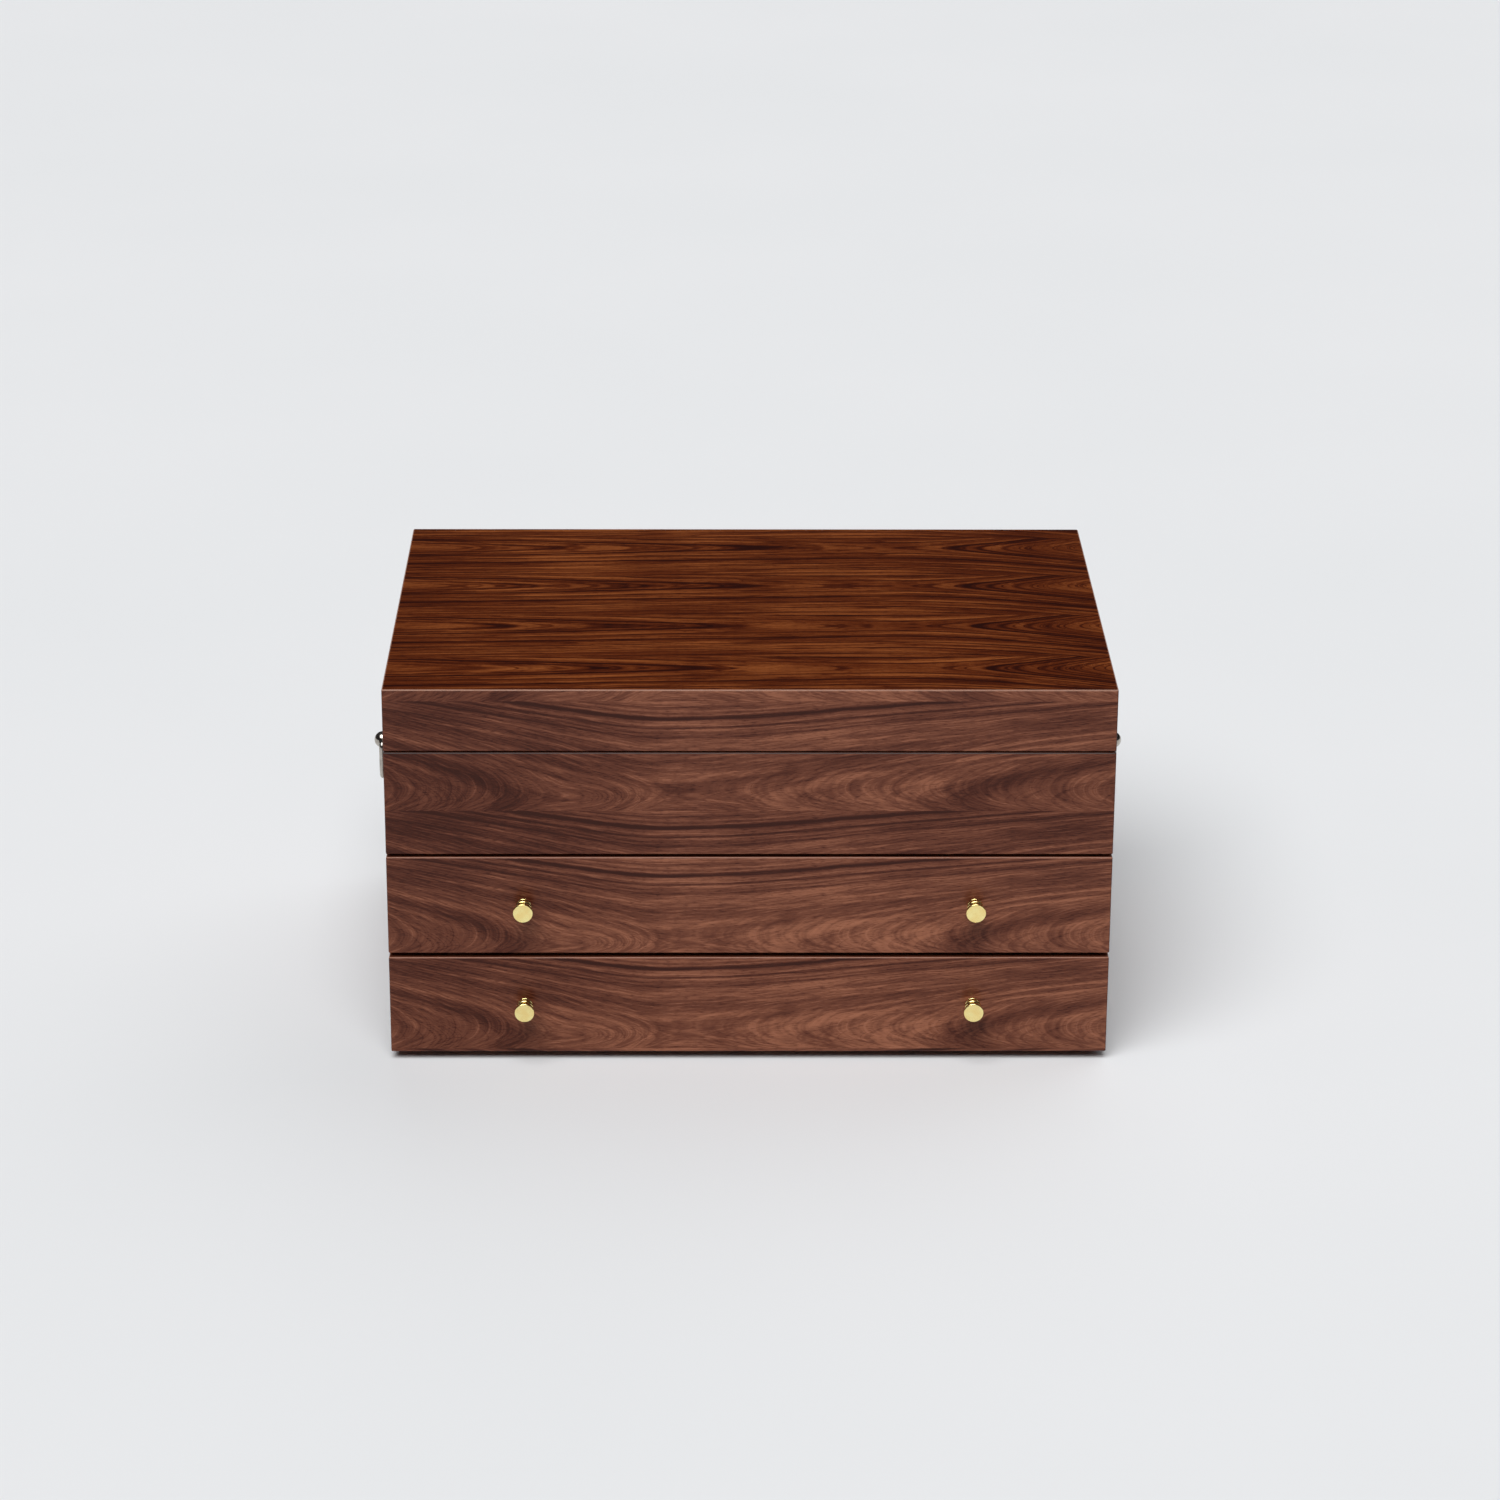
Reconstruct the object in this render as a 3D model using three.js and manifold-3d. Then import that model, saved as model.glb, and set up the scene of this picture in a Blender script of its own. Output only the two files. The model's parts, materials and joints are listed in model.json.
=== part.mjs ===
// Jewellery chest: a hinged lid over a lined well, two drawers with overlay fronts,
// and a swinging bail handle on each side. Millimetres, +Z up, front towards -Y.
// z = 0 is the surface that the feet stand on, and x = y = 0 is the middle of the whole object's box.

import * as THREE from "three";
import { ConvexGeometry } from "three/addons/geometries/ConvexGeometry.js";
import { mergeVertices } from "three/addons/utils/BufferGeometryUtils.js";
import Module from "manifold-3d";

const wasm = await Module();
wasm.setup();

// ---- Driving dimensions ----

// Case
const width = 380;
const depth = 265;
const footHeight = 4.5;
const upperFrontHeight = 57; // the fixed front over the drawers
const sideThickness = 10;
const backThickness = 10;
const frontThickness = 10;
const bottomThickness = 6;
const shelfThickness = 5;
const wellFloorThickness = 6;
const ease = 0.5; // the small flat along every outer edge

// Lid
const lidHeight = 34;
const lidBoard = 10;

// Gaps that show
const drawerGap = 2.4; // between the two drawer fronts
const upperGap = 1.6; // between the upper drawer and the fixed front
const lidGap = 0.7;

// Fits
const glueGap = 0.05; // a glued joint
const frontGap = 0.3; // behind a closed drawer front
const slideClearance = 0.8; // each side of a drawer
const runClearance = 0.5; // under a drawer
const softClearance = 0.4; // round a loose lined piece
const boreClearance = 0.3; // round a stud in its hole

// Drawers
const drawerFrontHeight = 54.7;
const drawerBackClearance = 13; // from a closed drawer's back to the case's
const drawerWall = 8;
const drawerBottomThickness = 3;
const grooveDepth = 3;
const grooveHeightUp = 3; // from the box's lower edge to its groove
const grooveClearance = 0.15;
const boxBelowFrontTop = 6; // how far the box stops short of its front's top edge

// Lining and compartments
const liningThickness = 1.2;
const liningBelowRim = 2;
const dividerThickness = 4;
const wellDividerHeight = 34;
const drawerDividerBelowRim = 8;
const ringZoneWidth = 150;
const ringZoneDepth = 110;
const ringRollCount = 5;
const ringRollHeight = 21;
const ringRollGap = 1.2;

// Feet
const footRadius = 5;
const footBehindFront = 0.5; // from the drawer fronts' backs to a front foot's edge
const footFromSide = 7.7;
const footEdge = 0.8;

// Drawer knobs
const knobSpacing = 237;
const knobProjection = 11;
const knobFaceRadius = 5.2;
const knobRim = 0.7;
const knobBackRadius = 4.4;
const knobHeadLength = 5.5;
const knobNeckRadius = 2;
const knobFlangeRadius = 3;
const knobFlangeThickness = 1;
const knobStudRadius = 1.6;
const knobStudLength = 6.5;

// Bail handles
const handleBelowRim = 30; // from the case's rim down to the swing axis
const postSpacing = 70;
const postBallRadius = 4.5;
const postReach = 7.6; // the swing axis off the side
const postNeckRadius = 2.4;
const rosetteRadius = 7;
const rosetteThickness = 1.5;
const postStudRadius = 2;
const postStudLength = 6.5;
const bailWireRadius = 1.6;
const bailBoreClearance = 0.25;
const bailDrop = 19.8;
const bailEyeBend = 3;
const bailGripBend = 6;
const bailArmGap = 2.5; // from a post's ball to the middle of the bail's arm
const bailEndPastPost = 3.6; // the bail's tip, past the middle of the post that it turns in

// Lid hinges
const hingeSpacing = 230;
const leafLength = 38;
const leafWidth = 8;
const leafThickness = 1;
const leafGap = 0.3;
const knuckleGap = 0.3;
const barrelRadius = 2.4;
const barrelClearance = 0.3;
const pinRadius = 1;
const pinClearance = 0.15;
const pinHeadRadius = 1.7;
const pinHeadThickness = 0.8;
const mortiseClearance = 0.1;

// Lid mirror
const mirrorThickness = 3;
const mirrorMargin = 14; // from the lid's inner walls to the glass
const mirrorLap = 5; // of the frame over the glass
const mirrorFrameThickness = 5.5;

const roundSides = 20;

// ---- Levels and faces worked out from them ----

const halfWidth = width / 2;
const frontY = -depth / 2;
const backY = depth / 2;
const innerX = halfWidth - sideThickness;
const innerFrontY = frontY + frontThickness;
const innerBackY = backY - backThickness;

const caseBottom = footHeight;
const lowerFrontTop = caseBottom + drawerFrontHeight;
const upperDrawerBottom = lowerFrontTop + drawerGap;
const upperDrawerTop = upperDrawerBottom + drawerFrontHeight;
const upperFrontBottom = upperDrawerTop + upperGap;
const caseTop = upperFrontBottom + upperFrontHeight;
const lidBottom = caseTop + lidGap;
const lidTop = lidBottom + lidHeight;

const floorTop = caseBottom + bottomThickness;
const shelfBottom = (lowerFrontTop + upperDrawerBottom - shelfThickness) / 2;
const shelfTop = shelfBottom + shelfThickness;
const wellFloorTop = upperFrontBottom + wellFloorThickness;

const handleHeight = caseTop - handleBelowRim;

const hingeY = backY + barrelRadius + barrelClearance;
const hingeZ = (caseTop + lidBottom) / 2;

// ---- Materials ----

const finish = (color, roughness, metalness) =>
  new THREE.MeshStandardMaterial({ color, roughness, metalness });

const walnut = finish(0x6b4133, 0.35, 0);
const carcass = finish(0x8a6548, 0.6, 0);
const suede = finish(0xcdbda6, 0.95, 0);
const brass = finish(0xd8b965, 0.22, 1);
const nickel = finish(0xc9c5bd, 0.2, 1);
const glass = finish(0xdfe3e6, 0.03, 1);
const felt = finish(0x1d1a19, 0.9, 0);

// ---- Solids ----

/** The half-space nx x + ny y + nz z <= offset. */
function halfSpace(nx, ny, nz, offset) {
  return { normal: new THREE.Vector3(nx, ny, nz), offset };
}

/** A box's six faces, with a 45 degree flat of the given leg along each of its edges. */
function easedBox(low, high, leg) {
  const unit = (axis, sign) => [0, 1, 2].map((i) => (i === axis ? sign : 0));
  const reach = (axis, sign) => (sign > 0 ? high[axis] : -low[axis]);
  const faces = [];
  for (const axis of [0, 1, 2]) {
    for (const sign of [-1, 1]) {
      faces.push(halfSpace(...unit(axis, sign), reach(axis, sign)));
    }
  }
  for (const [first, second] of [[0, 1], [0, 2], [1, 2]]) {
    for (const a of [-1, 1]) {
      for (const b of [-1, 1]) {
        const normal = unit(first, a).map((value, i) => value + unit(second, b)[i]);
        faces.push(halfSpace(...normal, reach(first, a) + reach(second, b) - leg));
      }
    }
  }
  return faces;
}

/** The convex solid that a list of half-spaces leaves: its corners are where three planes meet. */
function convex(planes) {
  const corners = [];
  const tolerance = 1e-5;
  for (let i = 0; i < planes.length; i++) {
    for (let j = i + 1; j < planes.length; j++) {
      for (let k = j + 1; k < planes.length; k++) {
        const [a, b, c] = [planes[i], planes[j], planes[k]];
        const bc = b.normal.clone().cross(c.normal);
        const ca = c.normal.clone().cross(a.normal);
        const ab = a.normal.clone().cross(b.normal);
        const volume = a.normal.dot(bc);
        if (Math.abs(volume) < tolerance) continue;
        const point = bc.multiplyScalar(a.offset)
          .add(ca.multiplyScalar(b.offset))
          .add(ab.multiplyScalar(c.offset))
          .divideScalar(volume);
        const inside = planes.every((p) => p.normal.dot(point) <= p.offset + tolerance);
        const known = corners.some((other) => other.distanceTo(point) < tolerance);
        if (inside && !known) corners.push(point);
      }
    }
  }
  return new ConvexGeometry(corners);
}

/** A mitred box's board: the skin of one face, cut at 45 degrees to the neighbouring faces. */
function mitredBoard(boxPlanes, face, thickness, neighbours) {
  const inner = halfSpace(...face.normal.clone().negate().toArray(), thickness - face.offset);
  const mitres = neighbours.map((other) => {
    const normal = other.normal.clone().sub(face.normal);
    return halfSpace(...normal.toArray(), other.offset - face.offset - glueGap * Math.SQRT1_2);
  });
  return convex([...boxPlanes, inner, ...mitres]);
}

function box(low, high) {
  const size = high.map((value, i) => value - low[i]);
  const middle = high.map((value, i) => (value + low[i]) / 2);
  return new THREE.BoxGeometry(...size).translate(...middle);
}

/** A cylinder from one point to another along X or Y. */
function rod(axis, from, to, radius) {
  const length = to[axis] - from[axis];
  const geometry = new THREE.CylinderGeometry(radius, radius, length, roundSides);
  if (axis === 0) geometry.rotateZ(Math.PI / 2);
  const middle = from.map((value, i) => (value + to[i]) / 2);
  return geometry.translate(...middle);
}

/** A turned solid about the local Y axis, from [radius, height] points that begin and end on the axis. */
function turned(points) {
  return new THREE.LatheGeometry(points.map(([r, h]) => new THREE.Vector2(r, h)), roundSides);
}

/** Points on an arc in [radius, height], from one angle to another, with angle 0 pointing outwards. */
function arc(centreR, centreH, radius, fromAngle, toAngle, steps) {
  const points = [];
  for (let i = 0; i <= steps; i++) {
    const angle = fromAngle + ((toAngle - fromAngle) * i) / steps;
    points.push([centreR + radius * Math.cos(angle), centreH + radius * Math.sin(angle)]);
  }
  return points;
}

function solid(geometry) {
  const bare = geometry.clone();
  bare.deleteAttribute("normal");
  bare.deleteAttribute("uv");
  const merged = mergeVertices(bare);
  const triVerts = new Uint32Array(merged.index.array);
  const vertProperties = new Float32Array(merged.attributes.position.array);
  return new wasm.Manifold(new wasm.Mesh({ numProp: 3, vertProperties, triVerts }));
}

function geometryOf(body) {
  const mesh = body.getMesh();
  const geometry = new THREE.BufferGeometry();
  geometry.setAttribute("position", new THREE.BufferAttribute(mesh.vertProperties, 3));
  geometry.setIndex(new THREE.BufferAttribute(mesh.triVerts, 1));
  geometry.computeVertexNormals();
  return geometry;
}

function cut(geometry, tools) {
  return geometryOf(tools.reduce((body, tool) => body.subtract(solid(tool)), solid(geometry)));
}

function join(geometries) {
  return geometryOf(geometries.slice(1).reduce((body, next) => body.add(solid(next)), solid(geometries[0])));
}

/** An open-topped lining of the given outer size. */
function tray(low, high) {
  const hollowLow = low.map((value) => value + liningThickness);
  const hollowHigh = [high[0] - liningThickness, high[1] - liningThickness, high[2] + 1];
  return cut(box(low, high), [box(hollowLow, hollowHigh)]);
}

/** A wrapped divider along X or Y, round on top; middle is across it, low and high along it. */
function divider(axis, middle, low, high, bottom, height) {
  const half = dividerThickness / 2;
  const outline = new THREE.Shape();
  outline.moveTo(-half, 0);
  outline.lineTo(half, 0);
  outline.lineTo(half, height - half);
  outline.absarc(0, height - half, half, 0, Math.PI, false);
  outline.closePath();
  const geometry = new THREE.ExtrudeGeometry(outline, {
    depth: high - low,
    bevelEnabled: false,
    curveSegments: 8,
  });
  geometry.rotateX(Math.PI / 2);
  if (axis === 0) {
    return geometry.rotateZ(Math.PI / 2).translate(low, middle, bottom);
  }
  return geometry.translate(middle, high, bottom);
}

const chest = new THREE.Group();
// The knobs stand further out in front than the hinges do behind, so the chest is moved to the middle.
chest.position.y = (-frontY + knobProjection - hingeY - barrelRadius) / 2;

function piece(name, geometry, material, parent = chest) {
  const mesh = new THREE.Mesh(geometry, material);
  mesh.name = name;
  parent.add(mesh);
  return mesh;
}

// ---- Case ----

const studHoleRadius = postStudRadius + boreClearance;
const postY = [-postSpacing / 2, postSpacing / 2];
const hingeX = { left: -hingeSpacing / 2, right: hingeSpacing / 2 };

const caseLow = [-halfWidth, innerFrontY + frontGap, caseBottom];
const caseHigh = [halfWidth, backY, caseTop];
const casePlanes = easedBox(caseLow, caseHigh, ease);
const leftFace = halfSpace(-1, 0, 0, halfWidth);
const rightFace = halfSpace(1, 0, 0, halfWidth);
const backFace = halfSpace(0, 1, 0, backY);

for (const [side, sign, face] of [["left", -1, leftFace], ["right", 1, rightFace]]) {
  const board = mitredBoard(casePlanes, face, sideThickness, [backFace]);
  const holes = postY.map((y) => {
    const ends = [sign * (halfWidth - postStudLength - boreClearance), sign * (halfWidth + 1)];
    ends.sort((a, b) => a - b);
    return rod(0, [ends[0], y, handleHeight], [ends[1], y, handleHeight], studHoleRadius);
  });
  piece(`case_side_${side}`, cut(board, holes), walnut);
}

/** The pocket that a hinge leaf lies in; low and high are its lowest and highest levels. */
function mortise(x, low, high) {
  const half = leafLength / 2 + mortiseClearance;
  return box([x - half, backY - leafWidth - mortiseClearance, low], [x + half, backY + 1, high]);
}

const caseMortises = Object.values(hingeX).map((x) =>
  mortise(x, hingeZ - leafGap / 2 - leafThickness - mortiseClearance, caseTop + 1));
const backBoard = mitredBoard(casePlanes, backFace, backThickness, [leftFace, rightFace]);
piece("case_back", cut(backBoard, caseMortises), walnut);

piece("upper_front", convex(easedBox(
  [-halfWidth, frontY, upperFrontBottom],
  [halfWidth, innerFrontY, caseTop],
  ease,
)), walnut);

/** A board between the case's sides, glued to its back. */
function shelf(name, frontEdge, bottom, thickness) {
  const low = [-innerX + glueGap, frontEdge, bottom];
  const high = [innerX - glueGap, innerBackY - glueGap, bottom + thickness];
  piece(name, box(low, high), carcass);
}

shelf("case_bottom", innerFrontY + frontGap, caseBottom, bottomThickness);
shelf("drawer_shelf", innerFrontY + frontGap, shelfBottom, shelfThickness);
shelf("well_floor", innerFrontY + glueGap, upperFrontBottom, wellFloorThickness);

// ---- Feet ----

const footFromEnd = frontThickness + footBehindFront + footRadius;
const footProfile = [
  [0, 0],
  [footRadius - footEdge, 0],
  [footRadius, footEdge],
  [footRadius, footHeight - glueGap],
  [0, footHeight - glueGap],
];
for (const [side, sign] of [["left", -1], ["right", 1]]) {
  for (const [end, y] of [["front", frontY + footFromEnd], ["back", backY - footFromEnd]]) {
    const foot = turned(footProfile).rotateX(Math.PI / 2);
    piece(`foot_${end}_${side}`, foot.translate(sign * (halfWidth - footFromSide), y, 0), felt);
  }
}

// ---- The lined well under the lid ----

const wellLow = [-innerX + glueGap, innerFrontY + glueGap, wellFloorTop + glueGap];
const wellHigh = [innerX - glueGap, innerBackY - glueGap, caseTop - liningBelowRim];
piece("well_lining", tray(wellLow, wellHigh), suede);

const wellFrontY = wellLow[1] + liningThickness;
const wellBackY = wellHigh[1] - liningThickness;
const wellLeftX = wellLow[0] + liningThickness;
const wellRightX = wellHigh[0] - liningThickness;
const wellSoftFloor = wellLow[2] + liningThickness + glueGap;

const longDividerY = wellFrontY + ringZoneDepth + dividerThickness / 2;
piece("well_divider_long", divider(
  0,
  longDividerY,
  wellLeftX + softClearance,
  wellRightX - softClearance,
  wellSoftFloor,
  wellDividerHeight,
), suede);

const crossBackX = (wellRightX - wellLeftX - 2 * dividerThickness) / 6 + dividerThickness / 2;
const crossFrontX = (ringZoneWidth + dividerThickness) / 2;
for (const [side, sign] of [["left", -1], ["right", 1]]) {
  piece(`well_divider_back_${side}`, divider(
    1,
    sign * crossBackX,
    longDividerY + dividerThickness / 2 + softClearance,
    wellBackY - softClearance,
    wellSoftFloor,
    wellDividerHeight,
  ), suede);
  piece(`well_divider_front_${side}`, divider(
    1,
    sign * crossFrontX,
    wellFrontY + softClearance,
    longDividerY - dividerThickness / 2 - softClearance,
    wellSoftFloor,
    wellDividerHeight,
  ), suede);
}

/** A ring roll's section: a flat base, short upright sides and a round top. */
function ringRollOutline(rollWidth) {
  const half = rollWidth / 2;
  const outline = new THREE.Shape();
  outline.moveTo(-half, 0);
  outline.lineTo(half, 0);
  outline.lineTo(half, ringRollHeight - half);
  outline.absarc(0, ringRollHeight - half, half, 0, Math.PI, false);
  outline.closePath();
  return outline;
}

const rollPitch = ringZoneDepth / ringRollCount;
const rollWidth = rollPitch - ringRollGap;
const rollLength = ringZoneWidth - 2 * softClearance;
for (let i = 0; i < ringRollCount; i++) {
  const roll = new THREE.ExtrudeGeometry(ringRollOutline(rollWidth), {
    depth: rollLength,
    bevelEnabled: false,
    curveSegments: 8,
  });
  roll.rotateX(Math.PI / 2).rotateZ(Math.PI / 2);
  roll.translate(-rollLength / 2, wellFrontY + (i + 0.5) * rollPitch, wellSoftFloor + softClearance);
  piece(`ring_roll_${i + 1}`, roll, suede);
}

// ---- Bail handles ----

const postNeckTop = postReach - Math.sqrt(postBallRadius ** 2 - postNeckRadius ** 2);
const ballStart = Math.asin((postNeckTop - postReach) / postBallRadius);
const postProfile = [
  [0, -postStudLength],
  [postStudRadius, -postStudLength],
  [postStudRadius, glueGap],
  [rosetteRadius, glueGap],
  [rosetteRadius, rosetteThickness / 2],
  [rosetteRadius - rosetteThickness / 2, rosetteThickness],
  [postNeckRadius, rosetteThickness],
  ...arc(0, postReach, postBallRadius, ballStart, Math.PI / 2, 7).slice(0, -1),
  [0, postReach + postBallRadius],
];

/** The bail at rest, in the plane through its swing axis: along Y, with the grip hanging below. */
function bailPath() {
  const end = postSpacing / 2 - bailEndPastPost;
  const arm = postSpacing / 2 + postBallRadius + bailArmGap;
  const at = (y, z) => new THREE.Vector3(0, y, z);
  const path = new THREE.CurvePath();
  const line = (a, b) => path.add(new THREE.LineCurve3(a, b));
  const bend = (a, corner, b) => path.add(new THREE.QuadraticBezierCurve3(a, corner, b));
  line(at(-end, 0), at(-arm + bailEyeBend, 0));
  bend(at(-arm + bailEyeBend, 0), at(-arm, 0), at(-arm, -bailEyeBend));
  line(at(-arm, -bailEyeBend), at(-arm, -bailDrop + bailGripBend));
  bend(at(-arm, -bailDrop + bailGripBend), at(-arm, -bailDrop), at(-arm + bailGripBend, -bailDrop));
  line(at(-arm + bailGripBend, -bailDrop), at(arm - bailGripBend, -bailDrop));
  bend(at(arm - bailGripBend, -bailDrop), at(arm, -bailDrop), at(arm, -bailDrop + bailGripBend));
  line(at(arm, -bailDrop + bailGripBend), at(arm, -bailEyeBend));
  bend(at(arm, -bailEyeBend), at(arm, 0), at(arm - bailEyeBend, 0));
  line(at(arm - bailEyeBend, 0), at(end, 0));
  return path;
}

function bail() {
  const section = new THREE.Shape();
  section.absarc(0, 0, bailWireRadius, 0, 2 * Math.PI, false);
  return new THREE.ExtrudeGeometry(section, {
    steps: 72,
    curveSegments: 5,
    extrudePath: bailPath(),
  });
}

for (const [side, sign] of [["left", -1], ["right", 1]]) {
  const axisX = sign * (halfWidth + postReach);
  for (const [end, y] of [["front", postY[0]], ["back", postY[1]]]) {
    const bore = rod(
      1,
      [0, -2 * postBallRadius, 0],
      [0, 2 * postBallRadius, 0],
      bailWireRadius + bailBoreClearance,
    ).translate(sign * postReach, 0, 0);
    const post = cut(turned(postProfile).rotateZ((-sign * Math.PI) / 2), [bore]);
    piece(`handle_post_${side}_${end}`, post.translate(sign * halfWidth, y, handleHeight), nickel);
  }
  piece(`handle_bail_${side}`, bail().translate(axisX, 0, handleHeight), nickel);
}

// ---- Lid ----

const lidPlanes = easedBox([-halfWidth, frontY, lidBottom], [halfWidth, backY, lidTop], ease);
const frontFace = halfSpace(0, -1, 0, -frontY);
const topFace = halfSpace(0, 0, 1, lidTop);

const lidBoards = [
  ["lid_top", topFace, [leftFace, rightFace, frontFace, backFace]],
  ["lid_front_rail", frontFace, [topFace, leftFace, rightFace]],
  ["lid_left_rail", leftFace, [topFace, frontFace, backFace]],
  ["lid_right_rail", rightFace, [topFace, frontFace, backFace]],
];
for (const [name, face, neighbours] of lidBoards) {
  piece(name, mitredBoard(lidPlanes, face, lidBoard, neighbours), walnut);
}

const lidMortises = Object.values(hingeX).map((x) =>
  mortise(x, lidBottom - 1, hingeZ + leafGap / 2 + leafThickness + mortiseClearance));
const lidBack = mitredBoard(lidPlanes, backFace, lidBoard, [topFace, leftFace, rightFace]);
piece("lid_back_rail", cut(lidBack, lidMortises), walnut);

const lidCeiling = lidTop - lidBoard - glueGap;
const lidInnerX = halfWidth - lidBoard - glueGap;
const lidInnerY = backY - lidBoard - glueGap;
const glassX = lidInnerX - mirrorMargin;
const glassY = lidInnerY - mirrorMargin;
piece("lid_mirror", box(
  [-glassX, -glassY, lidCeiling - mirrorThickness],
  [glassX, glassY, lidCeiling],
), glass);

const frameLow = [-lidInnerX, -lidInnerY, lidCeiling - mirrorFrameThickness];
const rebate = [glassX + softClearance, glassY + softClearance];
const mirrorWindow = [glassX - mirrorLap, glassY - mirrorLap];
piece("lid_mirror_frame", cut(box(frameLow, [lidInnerX, lidInnerY, lidCeiling]), [
  box(
    [-rebate[0], -rebate[1], lidCeiling - mirrorThickness - softClearance],
    [rebate[0], rebate[1], lidCeiling + 1],
  ),
  box([-mirrorWindow[0], -mirrorWindow[1], frameLow[2] - 1], [mirrorWindow[0], mirrorWindow[1], lidCeiling]),
]), suede);

// ---- Lid hinges ----

const knuckleLength = (leafLength - 2 * knuckleGap) / 3;

/** A leaf about x = 0: its plate, and a knuckle at each of the given middles. */
function hingeLeaf(plateBottom, knuckleMiddles) {
  const plateTop = plateBottom + leafThickness;
  const solids = [box([-leafLength / 2, backY - leafWidth, plateBottom], [leafLength / 2, backY, plateTop])];
  for (const middle of knuckleMiddles) {
    const [start, end] = [middle - knuckleLength / 2, middle + knuckleLength / 2];
    solids.push(box([start, backY - 1, plateBottom], [end, hingeY, plateTop]));
    solids.push(rod(0, [start, hingeY, hingeZ], [end, hingeY, hingeZ], barrelRadius));
  }
  const bore = rod(0, [-leafLength, hingeY, hingeZ], [leafLength, hingeY, hingeZ], pinRadius + pinClearance);
  return cut(join(solids), [bore]);
}

const pinHalf = leafLength / 2 + knuckleGap;
const pinProfile = [
  [0, -pinHalf - pinHeadThickness],
  [pinHeadRadius, -pinHalf - pinHeadThickness],
  [pinHeadRadius, -pinHalf],
  [pinRadius, -pinHalf],
  [pinRadius, pinHalf],
  [pinHeadRadius, pinHalf],
  [pinHeadRadius, pinHalf + pinHeadThickness],
  [0, pinHalf + pinHeadThickness],
];

const outerKnuckle = knuckleLength + knuckleGap;
for (const [side, x] of Object.entries(hingeX)) {
  const caseLeaf = hingeLeaf(hingeZ - leafGap / 2 - leafThickness, [-outerKnuckle, outerKnuckle]);
  const lidLeaf = hingeLeaf(hingeZ + leafGap / 2, [0]);
  const pin = turned(pinProfile).rotateZ(Math.PI / 2);
  piece(`hinge_${side}_case_leaf`, caseLeaf.translate(x, 0, 0), brass);
  piece(`hinge_${side}_lid_leaf`, lidLeaf.translate(x, 0, 0), brass);
  piece(`hinge_${side}_pin`, pin.translate(x, hingeY, hingeZ), brass);
}

// ---- Drawers ----

const knobHeadBack = knobProjection - knobHeadLength;
const knobProfile = [
  [0, -knobStudLength],
  [knobStudRadius, -knobStudLength],
  [knobStudRadius, glueGap],
  [knobFlangeRadius, glueGap],
  [knobFlangeRadius, knobFlangeThickness],
  [knobNeckRadius, knobFlangeThickness + 0.8],
  [knobNeckRadius, knobHeadBack - 1],
  [knobBackRadius - 0.6, knobHeadBack - 0.4],
  [knobBackRadius, knobHeadBack],
  ...arc(knobFaceRadius - knobRim, knobProjection - knobRim, knobRim, 0, Math.PI / 2, 3),
  [0, knobProjection],
];

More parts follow.
